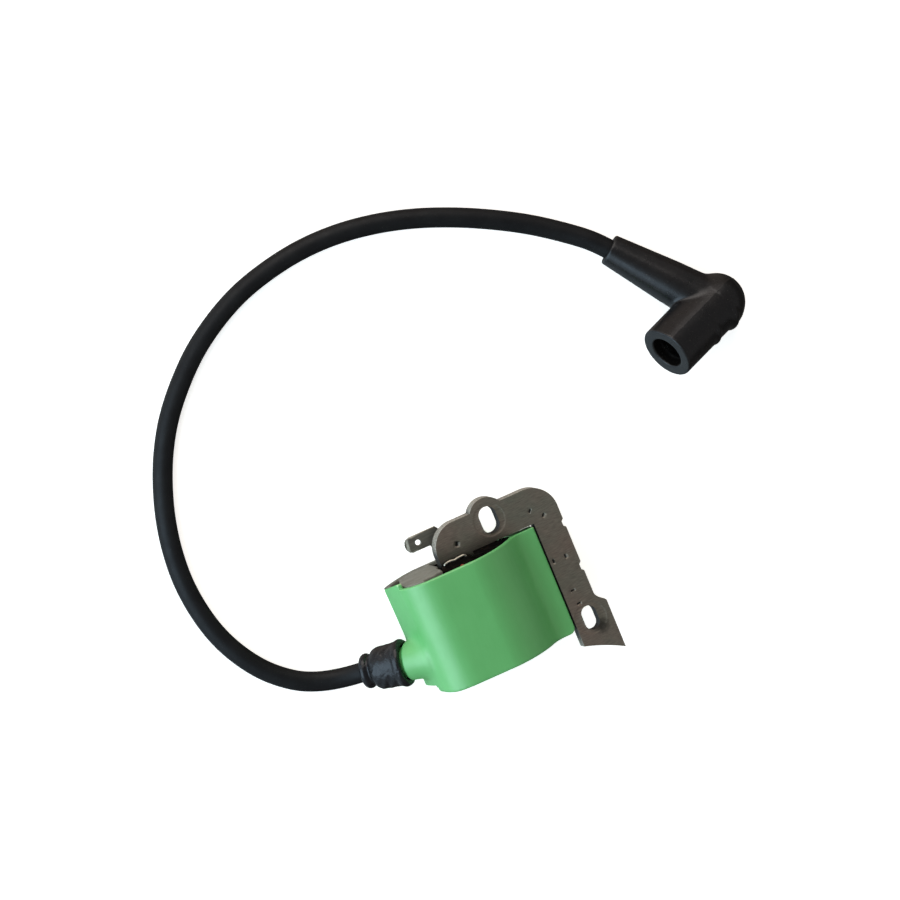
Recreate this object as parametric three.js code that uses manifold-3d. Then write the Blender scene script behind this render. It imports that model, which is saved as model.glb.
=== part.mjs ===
// Ignition coil of a small two-stroke engine, lying on the back of its housing.
// Millimetres, +Z up. X runs along the core's yoke, Y along its legs, away from the pole faces.
// The origin is on the surface that the coil lies on, under the middle of the housing and core.
import * as THREE from 'three';
import { mergeVertices } from 'three/addons/utils/BufferGeometryUtils.js';
import Module from 'manifold-3d';

const wasm = await Module();
wasm.setup();

// ---- driving dimensions -------------------------------------------------------------------------
// The coil is drawn from the housing's upper left corner, DATUM, in the object's own frame.
const DATUM = new THREE.Vector3(-27.76, 17.4, 0);
const FIT = 0.3; // gap between pieces that touch
const UP = new THREE.Vector3(0, 0, 1);
const ALONG_Y = new THREE.Vector3(0, 1, 0);

const HOUSING = { height: 39.7, depth: 37.2, right: 47.4, wall: 1.8, floor: 1.8 };
const FLANGE = { right: 54.3, low: 14.2, high: 19.7 }; // tongue beside the core's right leg
const CORNER_STEP = { width: 3.9, height: 3.5, top: 24.5 };

const CORE = { back: 14, stack: 6, sheets: 10, sheet: 0.56 };
const LEG = { left: 19.1, right: 31.3, end: -41.0 };
const YOKE = { bottom: 0.8, top: 13.1, corner: 9.4, right: 64.9 };
const EAR = { x: 40.9, y: 9.8, r: 6.6 };
const ARM = { inner: 54.7, flareTop: -29.5, flareEnd: -33.7, outer: 68.2 };
const POLE = { innerY: -45.4, outerY: -51.2, flywheelR: 60 };
const SEAT = { r: 5.6, depth: 0.08 };
const SLOTS = [
  { x: 40.8, y: 8.4, r: 3.1, length: 9.6 },
  { x: 60.6, y: -37.0, r: 2.65, length: 8.6 },
];

const NECK = {
  base: new THREE.Vector3(2.0, -26.2, 21.8),
  direction: new THREE.Vector3(-0.824, 0.1, -0.559).normalize(),
  r: 6.6,
  shoulder: 7.2,
  spigotR: 5.35,
  end: 14.5,
};
const LEAD = { r: 3.5, boreR: 1.2, wireR: 0.8, clearR: 3.8 };
const RELIEF = { mouth: 7.7, length: 16.2 };

const BARREL = { r: 9.9, boreR: 5.9, boreDepth: 23, length: 28.5, narrowR: 3.6, sleeveAt: 26.6 };
const SLEEVE = { endR: 5.4, midR: 7.6, elbowR: 8.6, mid: 24 };
const MOUTH = new THREE.Vector3(120.6, 36.4, 20.65);
const BARREL_DIRECTION = new THREE.Vector3(-0.891, -0.276, 0.362).normalize();
const SLEEVE_END = new THREE.Vector3(118.8, 75.6, 5.6);

// The lead's middle line in the object's own frame, from the terminal in the neck to the elbow.
const LEAD_ROUTE = [
  [-26.6, -8.7, 21.2],
  [-35.6, -7.6, 15.1],
  [-45.4, -6.4, 8.5],
  [-50.5, -6.0, 5.8],
  [-55.8, -5.1, 4.2],
  [-61.5, -3.4, 3.5],
  [-68.0, -0.1, 3.5],
  [-76.1, 6.8, 3.5],
  [-82.5, 15.5, 3.5],
  [-87.1, 25.2, 3.5],
  [-89.8, 35.5, 3.5],
  [-91.0, 46.6, 3.5],
  [-90.4, 58.0, 3.5],
  [-88.4, 68.8, 3.5],
  [-85.0, 79.6, 3.5],
  [-80.2, 90.4, 3.5],
  [-73.9, 100.5, 3.5],
  [-65.9, 109.7, 3.5],
  [-56.2, 118.4, 3.5],
  [-45.3, 125.4, 3.5],
  [-33.9, 130.6, 3.5],
  [-21.7, 133.9, 3.5],
  [-9.1, 135.7, 3.5],
  [4.1, 135.7, 3.5],
  [17.7, 133.8, 3.5],
  [31.4, 130.1, 3.5],
  [44.6, 124.9, 3.5],
  [57.3, 118.6, 3.5],
  [69.1, 111.6, 3.6],
  [79.3, 104.2, 4.0],
  [86.4, 98.2, 4.9],
  [91.4, 92.6, 5.7],
  [98.5, 83.7, 7.1],
  [107.8, 72.1, 9.0],
].map((p) => new THREE.Vector3(...p));

// ---- materials ----------------------------------------------------------------------------------
const material = (color, roughness, metalness = 0) =>
  new THREE.MeshStandardMaterial({ color, roughness, metalness });
const GREEN = material(0x5fb56b, 0.5);
const STEEL = material(0x4b4742, 0.55, 0.6);
const TIN = material(0x8c8a84, 0.35, 0.9);
const RUBBER = material(0x17181b, 0.6);
const COPPER = material(0xa5562b, 0.4, 0.8);
const NYLON = material(0x2b2b2b, 0.6);
const GREY = material(0x7c7a70, 0.6);
const EPOXY = material(0x1b1714, 0.3);
const BOARD = material(0x2f6a3a, 0.6);
const CERAMIC = material(0xb8702c, 0.5);
const BLACK_CASE = material(0x141414, 0.45);
const BRASS = material(0xb58b3c, 0.35, 0.9);

// ---- solids: join, cut and place ----------------------------------------------------------------
function solid(geometry) {
  const bare = geometry.index ? geometry.toNonIndexed() : geometry.clone();
  bare.deleteAttribute('normal');
  bare.deleteAttribute('uv');
  const merged = mergeVertices(bare, 1e-4);
  return new wasm.Manifold(new wasm.Mesh({
    numProp: 3,
    vertProperties: new Float32Array(merged.attributes.position.array),
    triVerts: new Uint32Array(merged.index.array),
  }));
}

function geometryOf(manifold) {
  const mesh = manifold.getMesh();
  const geometry = new THREE.BufferGeometry();
  geometry.setAttribute('position', new THREE.BufferAttribute(mesh.vertProperties, 3));
  geometry.setIndex(new THREE.BufferAttribute(mesh.triVerts, 1));
  geometry.computeVertexNormals();
  return geometry;
}

function block(low, high) {
  const size = high.map((value, i) => value - low[i]);
  const geometry = new THREE.BoxGeometry(...size);
  return geometry.translate(...low.map((value, i) => value + size[i] / 2));
}

function outline(points) {
  return new THREE.Shape(points.map(([x, y]) => new THREE.Vector2(x, y)));
}

const extruded = (shape, depth, curveSegments) =>
  new THREE.ExtrudeGeometry(shape, { depth, bevelEnabled: false, curveSegments });

// A plate parallel to the surface that the coil lies on, from height `low` up.
function plate(shape, low, thickness, curveSegments = 5) {
  return extruded(shape, thickness, curveSegments).translate(0, 0, low);
}

// A prism whose section lies in X and Z and which runs from y = top down to y = bottom.
function prism(shape, top, bottom, curveSegments = 8) {
  return extruded(shape, top - bottom, curveSegments).rotateX(Math.PI / 2).translate(0, top, 0);
}

// A turned piece: profile points are [radius, distance along the axis].
function turned(profile, origin, direction, segments) {
  const points = profile.map(([r, s]) => new THREE.Vector2(r, s));
  const geometry = new THREE.LatheGeometry(points, segments);
  const turn = new THREE.Quaternion().setFromUnitVectors(ALONG_Y, direction);
  return geometry.applyQuaternion(turn).translate(origin.x, origin.y, origin.z);
}

const rod = (r, from, to, origin, direction, segments = 20) =>
  turned([[0, from], [r, from], [r, to], [0, to]], origin, direction, segments);

function roundedRectangle(x0, y0, x1, y1, r) {
  const shape = new THREE.Shape();
  shape.absarc(x1 - r, y1 - r, r, 0, Math.PI / 2);
  shape.absarc(x0 + r, y1 - r, r, Math.PI / 2, Math.PI);
  shape.absarc(x0 + r, y0 + r, r, Math.PI, 1.5 * Math.PI);
  shape.absarc(x1 - r, y0 + r, r, 1.5 * Math.PI, 2 * Math.PI);
  shape.closePath();
  return shape;
}

function circle(r, sides) {
  const shape = new THREE.Shape();
  for (let i = 0; i < sides; i += 1) {
    const angle = (2 * Math.PI * i) / sides;
    const point = [r * Math.cos(angle), r * Math.sin(angle)];
    if (i === 0) shape.moveTo(...point);
    else shape.lineTo(...point);
  }
  return shape;
}

function tube(section, curve, steps) {
  return new THREE.ExtrudeGeometry(section, { extrudePath: curve, steps, bevelEnabled: false });
}

const group = new THREE.Group();
const coil = new THREE.Group();
coil.position.copy(DATUM);
group.add(coil);

function add(name, geometry, finish, parent = coil) {
  const mesh = new THREE.Mesh(geometry, finish);
  mesh.name = name;
  parent.add(mesh);
  return mesh;
}

// ---- housing ------------------------------------------------------------------------------------
// Section of the winding body: flat back, rounded left corners, a shoulder that falls to the right.
function bodyPoints(inset) {
  const { depth, right } = HOUSING;
  const shape = new THREE.Shape();
  shape.moveTo(13.5, 0);
  shape.lineTo(26, 0);
  shape.bezierCurveTo(37.5, 0.4, right - 0.7, 10.5, right, 17);
  shape.bezierCurveTo(right - 0.7, 22.6, 37.5, depth - 0.6, 26, depth);
  shape.lineTo(13.5, depth);
  shape.bezierCurveTo(6.5, depth, 2.1, 33.5, 1.4, 27.5);
  shape.bezierCurveTo(0.7, 23, -0.5, 17.5, -0.5, 13);
  shape.bezierCurveTo(0.3, 9.5, 8.5, 0.6, 13.5, 0);
  const points = shape.getPoints(8).slice(0, -1);
  return points.map((point, i) => {
    const before = points[(i + points.length - 1) % points.length];
    const after = points[(i + 1) % points.length];
    const along = after.clone().sub(before).normalize();
    return new THREE.Vector2(point.x - along.y * inset, point.y + along.x * inset);
  });
}

const bodySection = (inset) => new THREE.Shape(bodyPoints(inset));

function housing() {
  const { height, wall, floor } = HOUSING;
  const { width, height: rise, top } = CORNER_STEP;
  const reach = 5;
  const stepFloor = -height + rise;
  let shell = solid(prism(bodySection(0), 0, -height));
  shell = shell.add(solid(block([40, -height, FLANGE.low], [FLANGE.right, 0, FLANGE.high])));
  shell = shell.add(solid(prism(flangeWeb(), 0, -height)));
  shell = shell.add(solid(lip()));
  let cavity = solid(prism(bodySection(wall), reach, -height + floor));
  const stepInside = block([-reach, -height, -reach], [width + wall, stepFloor + floor, top + wall]);
  cavity = cavity.subtract(solid(stepInside));
  shell = shell.subtract(cavity);
  shell = shell.subtract(solid(block([-reach, -height - reach, -reach], [width, stepFloor, top])));
  shell = shell.subtract(solid(block(
    [LEG.left - FIT, -height - reach, CORE.back - FIT],
    [LEG.right + FIT, -height + reach, CORE.back + CORE.stack + FIT],
  )));
  shell = shell.add(solid(neckBody()));
  shell = shell.subtract(solid(rod(LEAD.clearR, -0.6, NECK.end + 1, NECK.base, NECK.direction, 24)));
  shell = shell.subtract(solid(rod(1.2, -reach, 1, NECK.base, NECK.direction, 12)));
  return geometryOf(shell);
}

// Fillets on both sides of the tongue, where it leaves the winding body.
function flangeWeb() {
  const shape = new THREE.Shape();
  shape.moveTo(42.5, 27);
  shape.quadraticCurveTo(46.4, 20.6, 51, FLANGE.high - 0.1);
  shape.lineTo(51, FLANGE.low + 0.1);
  shape.quadraticCurveTo(46.4, 13.6, 42.5, 8);
  return shape;
}

// The rim stands up along the left wall and falls back to it at its rear end.
function lip() {
  const rise = 1.9;
  const shape = outline([[-0.5, 12.5], [1.4, 27.5], [3.4, 27.0], [1.5, 12.5]]);
  const geometry = prism(shape, rise, -1);
  const position = geometry.attributes.position;
  for (let i = 0; i < position.count; i += 1) {
    const along = (position.getZ(i) - 12.5) / (27.5 - 12.5);
    if (position.getY(i) > 0) position.setY(i, 0.05 + (rise - 0.05) * along);
  }
  return geometry;
}

function neckBody() {
  const { r, shoulder, spigotR, end } = NECK;
  const profile = [
    [0, -3],
    [r, -3],
    [r, shoulder - 0.6],
    [r - 0.4, shoulder],
    [spigotR, shoulder],
    [spigotR, end - 0.6],
    [spigotR - 0.5, end],
    [0, end],
  ];
  return turned(profile, NECK.base, NECK.direction, 28);
}

// ---- core ---------------------------------------------------------------------------------------
function slotPath({ x, y, r, length }) {
  const half = length / 2 - r;
  const path = new THREE.Path();
  path.absarc(x, y + half, r, 0, Math.PI);
  path.absarc(x, y - half, r, Math.PI, 2 * Math.PI);
  return path;
}

// Middle of the flywheel: both pole tips of the right arm lie on its circle.
function flywheelCentre() {
  const inner = new THREE.Vector2(ARM.inner, POLE.innerY);
  const outer = new THREE.Vector2(ARM.outer, POLE.outerY);
  const middle = inner.clone().add(outer).multiplyScalar(0.5);
  const chord = outer.clone().sub(inner);
  const away = new THREE.Vector2(chord.y, -chord.x).normalize();
  const distance = Math.sqrt(POLE.flywheelR ** 2 - chord.lengthSq() / 4);
  return middle.add(away.multiplyScalar(distance));
}

function sheetShape() {
  const centre = flywheelCentre();
  const angle = (x, y) => Math.atan2(y - centre.y, x - centre.x);
  const earHalf = Math.sqrt(EAR.r ** 2 - (YOKE.top - EAR.y) ** 2);
  const earAngle = Math.asin((YOKE.top - EAR.y) / EAR.r);
  const { left, right, end } = LEG;
  const { bottom, top, corner } = YOKE;
  const shape = new THREE.Shape();
  shape.moveTo(left, end);
  shape.lineTo(right, end);
  shape.lineTo(right, bottom);
  shape.lineTo(ARM.inner, bottom);
  shape.lineTo(ARM.inner, POLE.innerY);
  const innerTip = angle(ARM.inner, POLE.innerY);
  const outerTip = angle(ARM.outer, POLE.outerY);
  shape.absarc(centre.x, centre.y, POLE.flywheelR, innerTip, outerTip, true);
  shape.lineTo(ARM.outer, ARM.flareEnd);
  shape.bezierCurveTo(
    ARM.outer - 0.2, ARM.flareEnd + 1.2,
    YOKE.right + 0.4, ARM.flareTop - 2.4,
    YOKE.right, ARM.flareTop,
  );
  edgeNotch(shape, -21.1, -17.7);
  edgeNotch(shape, -4.7, -1.6);
  shape.lineTo(YOKE.right, top - corner);
  shape.absarc(YOKE.right - corner, top - corner, corner, 0, Math.PI / 2, false);
  shape.lineTo(EAR.x + earHalf, top);
  shape.absarc(EAR.x, EAR.y, EAR.r, earAngle, Math.PI - earAngle, false);
  shape.lineTo(left + corner, top);
  shape.absarc(left + corner, top - corner, corner, Math.PI / 2, Math.PI, false);
  shape.closePath();
  return shape;
}

// A shallow notch in the right arm's outer edge.
function edgeNotch(shape, low, high) {
  const depth = 0.8;
  shape.lineTo(YOKE.right, low);
  shape.lineTo(YOKE.right - depth, low + 0.9);
  shape.lineTo(YOKE.right - depth, high - 0.6);
  shape.lineTo(YOKE.right, high);
}

// Clamping seats are pressed into the two outer sheets round each mounting slot.
function sheet(index) {
  const pitch = (CORE.stack - CORE.sheet) / (CORE.sheets - 1);
  const low = CORE.back + index * pitch;
  const shape = sheetShape();
  shape.holes = SLOTS.map(slotPath);
  const plain = plate(shape, low, CORE.sheet);
  const isBack = index === 0;
  const isFront = index === CORE.sheets - 1;
  if (!isBack && !isFront) return plain;
  const cutLow = isBack ? low - 1 : low + CORE.sheet - SEAT.depth;
  const cutHigh = isBack ? low + SEAT.depth : low + CORE.sheet + 1;
  let pressed = solid(plain);
  for (const { x, y } of SLOTS) {
    const seat = rod(SEAT.r, cutLow, cutHigh, new THREE.Vector3(x, y, 0), UP, 32);
    pressed = pressed.subtract(solid(seat));
  }
  return geometryOf(pressed);
}

function addCore() {
  for (let i = 0; i < CORE.sheets; i += 1) {
    const number = String(i + 1).padStart(2, '0');
    add(`core_lamination_${number}`, sheet(i), STEEL);
  }
}

// ---- windings on the left leg -------------------------------------------------------------------
const LEG_MIDDLE = { x: (LEG.left + LEG.right) / 2, z: CORE.back + CORE.stack / 2 };
const LEG_HALF = { x: (LEG.right - LEG.left) / 2, z: CORE.stack / 2 };

function legRectangle(clearance) {
  const halfX = LEG_HALF.x + clearance;
  const halfZ = LEG_HALF.z + clearance;
  const { x, z } = LEG_MIDDLE;
  return roundedRectangle(x - halfX, z - halfZ, x + halfX, z + halfZ, clearance);
}

// A ring round the leg: inside and outside are distances from the leg's surface.
function legRing(inside, outside, top, bottom) {
  const shape = legRectangle(outside);
  shape.holes = [legRectangle(inside)];
  return prism(shape, top, bottom, 3);
}

const PRIMARY = { top: -4.5, bottom: -36.6, tube: FIT, winding: 1.5, outside: 3.6, flange: 1.1 };
const SECONDARY = { top: -5.2, bottom: -35.9, tube: 4.0, winding: 5.1, outside: 7.4, flange: 8.6 };
const CHAMBERS = { count: 4, divider: 0.9 };

function bobbin(inner, tubeOutside, flangeOutside, top, bottom, chambers, flangeThickness) {
  let body = solid(legRing(inner, tubeOutside, top, bottom));
  const pitch = (top - bottom - flangeThickness) / chambers;
  for (let i = 0; i <= chambers; i += 1) {
    const flangeTop = top - i * pitch;
    body = body.add(solid(legRing(inner, flangeOutside, flangeTop, flangeTop - flangeThickness)));
  }
  return geometryOf(body);
}

function addWindings() {
  const { count, divider } = CHAMBERS;
  const fill = 0.15;
  add('primary_bobbin', bobbin(
    PRIMARY.tube, PRIMARY.winding - FIT, PRIMARY.outside, PRIMARY.top, PRIMARY.bottom, 1, PRIMARY.flange,
  ), NYLON);
  add('primary_winding', legRing(
    PRIMARY.winding, PRIMARY.outside - 0.2,
    PRIMARY.top - PRIMARY.flange - fill, PRIMARY.bottom + PRIMARY.flange + fill,
  ), COPPER);
  add('secondary_bobbin', bobbin(
    SECONDARY.tube, SECONDARY.winding - FIT, SECONDARY.flange,
    SECONDARY.top, SECONDARY.bottom, count, divider,
  ), NYLON);
  const pitch = (SECONDARY.top - SECONDARY.bottom - divider) / count;
  for (let i = 0; i < count; i += 1) {
    const top = SECONDARY.top - divider - i * pitch - fill;
    const bottom = SECONDARY.top - (i + 1) * pitch + fill;
    add(`secondary_winding_${i + 1}`, legRing(SECONDARY.winding, SECONDARY.outside, top, bottom), COPPER);
  }
}

// ---- ignition electronics, between the windings and the housing's front wall ---------------------
const BOARD_TOP = 31.6;

function onBoard(x, y, width, length, height) {
  const low = BOARD_TOP + 0.15;
  return block([x, y - length, low], [x + width, y, low + height]);
}

function addElectronics() {
  add('circuit_board', block([9.5, -34, BOARD_TOP - 1], [33.5, -7, BOARD_TOP]), BOARD);
  add('storage_capacitor', onBoard(11, -9, 11, 9, 3.2), CERAMIC);
  add('switching_transistor', onBoard(23.2, -9.5, 6, 6, 2.4), BLACK_CASE);
  add('control_chip', onBoard(23.5, -19, 7, 5, 1.6), BLACK_CASE);
  for (let i = 0; i < 3; i += 1) {
    const x = 12.5 + i * 3.6;
    const centre = new THREE.Vector3(x, 0, BOARD_TOP + 1.3);
    add(`resistor_${i + 1}`, rod(1.1, -28, -21.5, centre, ALONG_Y, 12), CERAMIC);
  }
  const diode = new THREE.Vector3(26.4, 0, BOARD_TOP + 1.4);
  add('suppressor_diode', rod(1.2, -32, -26.5, diode, ALONG_Y, 12), BLACK_CASE);
}

// ---- what shows in the housing's open top -------------------------------------------------------
const POTTING = { top: -1.8, bottom: -4.2 };
const COVER = { left: 4.6, right: 18.4, top: -0.1 };
const TERMINAL = { low: 9.8, thickness: 0.8, well: 2.3, stemLeft: 20.4, stemRight: 25.2 };

function pottingCap() {
  let cap = solid(prism(bodySection(HOUSING.wall + FIT), POTTING.top, POTTING.bottom));
  cap = cap.subtract(solid(block(
    [LEG.left - FIT, -10, CORE.back - FIT],
    [LEG.right + FIT, 0, CORE.back + CORE.stack + FIT],
  )));
  cap = cap.subtract(solid(block(
    [TERMINAL.stemLeft - FIT, -10, TERMINAL.low - TERMINAL.well],
    [TERMINAL.stemRight + FIT, 0, TERMINAL.low + TERMINAL.thickness + TERMINAL.well],
  )));
  for (const x of [20.4, 27.6]) cap = cap.subtract(solid(block([x - 1, -10, 20.6], [x + 1, 0, 22.6])));
  cap = cap.subtract(solid(block([23.4, -10, 24.6], [25.4, 0, 26.6])));
  return geometryOf(cap);
}

// A grey cover closes the opening on the left of the leg.
function topCover() {
  const low = POTTING.top + 0.15;
  const whole = solid(prism(bodySection(HOUSING.wall + 1.2), COVER.top, low));
  const kept = solid(block([COVER.left, low - 1, -1], [COVER.right, 0, HOUSING.depth]));
  return geometryOf(whole.intersect(kept));
}

// Push-on blade of the stop switch's wire, behind the yoke's left end, on a stem from the windings.
function stopTerminal() {
  const { low, thickness, stemLeft, stemRight } = TERMINAL;
  const shape = outline([
    [stemLeft, -4],
    [stemRight, -4],
    [stemRight, 11.2],
    [24.0, 12.9],
    [14.5, 12.9],
    [13.1, 11.9],
    [12.2, 10.2],
    [12.3, 8.8],
    [13.0, 7.8],
    [14.1, 7.3],
    [stemLeft, 7.3],
  ]);
  const hole = new THREE.Path();
  hole.absarc(16.5, 10.0, 0.95, 0, 2 * Math.PI);
  shape.holes = [hole];
  return plate(shape, low, thickness, 6);
}

// Bare tinned wire that grounds the winding on the core: up out of the potting, along, and back in.
function groundWire() {
  const curve = new THREE.CatmullRomCurve3([
    [20.4, -4.0, 21.6],
    [20.4, -2.0, 21.6],
    [21.2, -0.4, 21.6],
    [24.0, 0.0, 21.7],
    [26.8, -0.4, 21.6],
    [27.6, -2.0, 21.6],
    [27.6, -4.0, 21.6],
  ].map((p) => new THREE.Vector3(...p)));
  return tube(circle(0.5, 6), curve, 18);
}

function windingWire() {
  const curve = new THREE.CatmullRomCurve3([
    [24.4, -4.4, 25.6],
    [24.4, -1.6, 25.6],
    [24.8, -0.8, 26.2],
    [25.4, -0.9, 27.2],
  ].map((p) => new THREE.Vector3(...p)));
  return tube(circle(0.55, 6), curve, 8);
}

// ---- high tension outlet ------------------------------------------------------------------------
function terminalSpike() {
  const profile = [[0, -7.4], [1.5, -7.4], [1.5, -5.2], [0.9, -5], [0.9, 5.6], [0, 7.6]];
  return turned(profile, NECK.base, NECK.direction, 12);
}

// Rubber boot over the neck: bead at its mouth, plain body, groove, and a ring round the lead.
function strainRelief() {
  const { length } = RELIEF;
  const bore = NECK.spigotR + FIT;
  const profile = [
    [bore, 0],
    [7.3, 0],
    [7.9, 0.6],
    [8.2, 1.6],
    [7.9, 3.0],
    [7.7, 5.1],
    [7.4, 9.1],
    [7.1, 11.0],
    [6.2, 11.9],
    [5.2, 12.6],
    [5.3, 13.3],
    [6.0, 14.0],
    [6.1, 15.0],
    [5.7, 15.8],
    [5.0, length],
    [LEAD.clearR, length],
    [LEAD.clearR, 11.0],
    [bore, 8.5],
    [bore, 0],
  ];
  const mouth = NECK.base.clone().addScaledVector(NECK.direction, RELIEF.mouth);
  return turned(profile, mouth, NECK.direction, 24);
}

function leadJacket() {
  const section = circle(LEAD.r, 10);
  section.holes = [circle(LEAD.boreR, 6)];
  return tube(section, new THREE.CatmullRomCurve3(LEAD_ROUTE), 60);
}

// The stranded wire starts past the spike's tip and ends level with the jacket.
function leadWire() {
  const whole = new THREE.CatmullRomCurve3(LEAD_ROUTE);
  const steps = 60;
  const start = 0.026;
  const points = [];
  for (let i = 0; i <= steps; i += 1) points.push(whole.getPointAt(start + (1 - start) * (i / steps)));
  return tube(circle(LEAD.wireR, 6), new THREE.CatmullRomCurve3(points), steps);
}

// ---- spark plug boot ----------------------------------------------------------------------------
const ELBOW = MOUTH.clone().addScaledVector(BARREL_DIRECTION, -BARREL.sleeveAt);
const SLEEVE_DIRECTION = ELBOW.clone().sub(SLEEVE_END).normalize();
const SLEEVE_LENGTH = ELBOW.distanceTo(SLEEVE_END);

function barrelBody() {
  const { r, length } = BARREL;
  const profile = [
    [0, 0],
    [r - 0.3, 0],
    [r + 0.1, 0.5],
    [r, 2],
    [r, 16.6],
    [r + 0.5, 17.4],
    [r + 0.1, 18.6],
    [r + 0.1, 23],
    [r + 1.1, 25.4],
    [r + 1.1, 27.4],
    [r + 0.3, 30.6],
  ];
  for (let i = 0; i <= 6; i += 1) {
    const angle = ((14 + (76 * i) / 6) * Math.PI) / 180;
    profile.push([i === 6 ? 0 : r * Math.cos(angle), length + r * Math.sin(angle)]);
  }
  return turned(profile, MOUTH, BARREL_DIRECTION.clone().negate(), 24);
}

function sleeveBody() {
  const profile = [
    [0, 0],
    [SLEEVE.endR, 0],
    [SLEEVE.endR + 0.2, 0.8],
    [SLEEVE.midR, SLEEVE.mid],
    [SLEEVE.elbowR, SLEEVE_LENGTH - 2],
    [0, SLEEVE_LENGTH - 2],
  ];
  return turned(profile, SLEEVE_END, SLEEVE_DIRECTION, 24);
}

function plugBoot() {
  const inward = BARREL_DIRECTION.clone().negate();
  let boot = solid(barrelBody()).add(solid(sleeveBody()));
  boot = boot.subtract(solid(rod(BARREL.boreR, -1, BARREL.boreDepth, MOUTH, inward, 20)));
  boot = boot.subtract(solid(rod(BARREL.narrowR, 0, BARREL.length, MOUTH, inward, 12)));
  boot = boot.subtract(solid(rod(LEAD.clearR, -1, SLEEVE_LENGTH, SLEEVE_END, SLEEVE_DIRECTION, 16)));
  return geometryOf(boot);
}

// Spring that grips the spark plug's tip, with a tail that reaches back to the lead's wire.
function plugSpring() {
  const radius = 3.9;
  const turns = 4;
  const inward = BARREL_DIRECTION.clone().negate();
  const frame = new THREE.Quaternion().setFromUnitVectors(ALONG_Y, inward);
  const points = [];
  const perTurn = 10;
  for (let i = 0; i <= turns * perTurn; i += 1) {
    const angle = (2 * Math.PI * i) / perTurn;
    const along = 15.8 + (6.3 * i) / (turns * perTurn);
    const point = new THREE.Vector3(radius * Math.cos(angle), along, radius * Math.sin(angle));
    points.push(point.applyQuaternion(frame).add(MOUTH));
  }
  points.push(MOUTH.clone().addScaledVector(BARREL_DIRECTION, -24.6));
  points.push(ELBOW.clone().addScaledVector(SLEEVE_DIRECTION, -3));
  points.push(ELBOW.clone().addScaledVector(SLEEVE_DIRECTION, -7));
  return tube(circle(0.45, 6), new THREE.CatmullRomCurve3(points), 60);
}

// ---- assembly -----------------------------------------------------------------------------------
add('housing', housing(), GREEN);
addCore();
addWindings();
addElectronics();
add('potting_cap', pottingCap(), EPOXY);
add('top_cover', topCover(), GREY);
add('stop_terminal', stopTerminal(), TIN);
add('ground_wire', groundWire(), TIN);
add('winding_wire', windingWire(), COPPER);
add('terminal_spike', terminalSpike(), BRASS);
add('strain_relief', strainRelief(), RUBBER);
add('plug_boot', plugBoot(), RUBBER);
add('plug_spring', plugSpring(), TIN);
add('lead_jacket', leadJacket(), RUBBER, group);
add('lead_wire', leadWire(), COPPER, group);

export default group;
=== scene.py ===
# Ignition coil of a small two-stroke engine: the looks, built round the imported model.
# The coil is drawn in millimetres from the housing's upper left corner, as X, Y and Z of the row
# frame; DATUM carries the drawing to its place, and MM turns it to metres.
import math

import bmesh
import bpy
import numpy as np
from mathutils import Matrix, Vector
from mathutils.geometry import delaunay_2d_cdt


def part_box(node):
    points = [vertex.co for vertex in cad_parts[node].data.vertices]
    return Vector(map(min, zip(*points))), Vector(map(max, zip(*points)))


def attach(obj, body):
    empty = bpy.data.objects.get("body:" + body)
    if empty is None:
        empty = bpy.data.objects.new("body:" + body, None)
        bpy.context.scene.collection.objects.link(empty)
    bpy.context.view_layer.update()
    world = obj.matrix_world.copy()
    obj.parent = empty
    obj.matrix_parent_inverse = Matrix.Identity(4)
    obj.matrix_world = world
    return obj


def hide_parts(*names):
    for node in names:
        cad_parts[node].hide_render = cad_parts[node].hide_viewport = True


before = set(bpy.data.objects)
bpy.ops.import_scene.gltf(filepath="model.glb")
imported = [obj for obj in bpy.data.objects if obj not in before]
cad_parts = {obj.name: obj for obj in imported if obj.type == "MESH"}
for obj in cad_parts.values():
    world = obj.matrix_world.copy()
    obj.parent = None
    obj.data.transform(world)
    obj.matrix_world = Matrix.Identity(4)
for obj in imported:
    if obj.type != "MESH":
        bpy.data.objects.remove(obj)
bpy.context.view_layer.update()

MM = 0.001
HOUSING = {"height": 39.7, "depth": 37.2, "right": 47.4, "wall": 1.8, "floor": 1.8}
FLANGE = {"left": 40.0, "right": 54.3, "low": 14.2, "high": 19.7, "blend": 7.0, "corner": 2.4}
HOUSING_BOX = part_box("housing")
DATUM = np.array((
    HOUSING_BOX[1].x / MM - FLANGE["right"],
    HOUSING_BOX[0].y / MM + HOUSING["height"],
    0,
))


# ---- camera -------------------------------------------------------------------------------------
CAMERA = {"azimuth": 234.72, "elevation": 76.65, "roll": 102.05, "distance": 6.0, "width": 0.3102}
CAMERA_TARGET = Vector((0.0128, 0.0513, 0.004))


def add_camera():
    azimuth, elevation, roll = (math.radians(CAMERA[k]) for k in ("azimuth", "elevation", "roll"))
    back = Vector((
        math.cos(elevation) * math.sin(azimuth),
        -math.cos(elevation) * math.cos(azimuth),
        math.sin(elevation),
    ))
    level = Vector((0, 0, 1)).cross(back).normalized()
    rise = back.cross(level)
    right = level * math.cos(roll) + rise * math.sin(roll)
    up = rise * math.cos(roll) - level * math.sin(roll)
    data = bpy.data.cameras.new("camera")
    data.lens = data.sensor_width * CAMERA["distance"] / CAMERA["width"]
    data.clip_end = 20
    camera = bpy.data.objects.new("camera", data)
    rotation = Matrix((right, up, back)).transposed().to_4x4()
    camera.matrix_world = Matrix.Translation(CAMERA_TARGET + back * CAMERA["distance"]) @ rotation
    bpy.context.scene.collection.objects.link(camera)
    bpy.context.scene.camera = camera
    return right, up, back


PICTURE_RIGHT, PICTURE_UP, PICTURE_BACK = add_camera()


# ---- materials ----------------------------------------------------------------------------------
def linear(*srgb):
    """A colour given as 0 to 255 in sRGB, as linear RGBA."""
    values = [c / 255 for c in srgb]
    return [c / 12.92 if c <= 0.04045 else ((c + 0.055) / 1.055) ** 2.4 for c in values] + [1]


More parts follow.
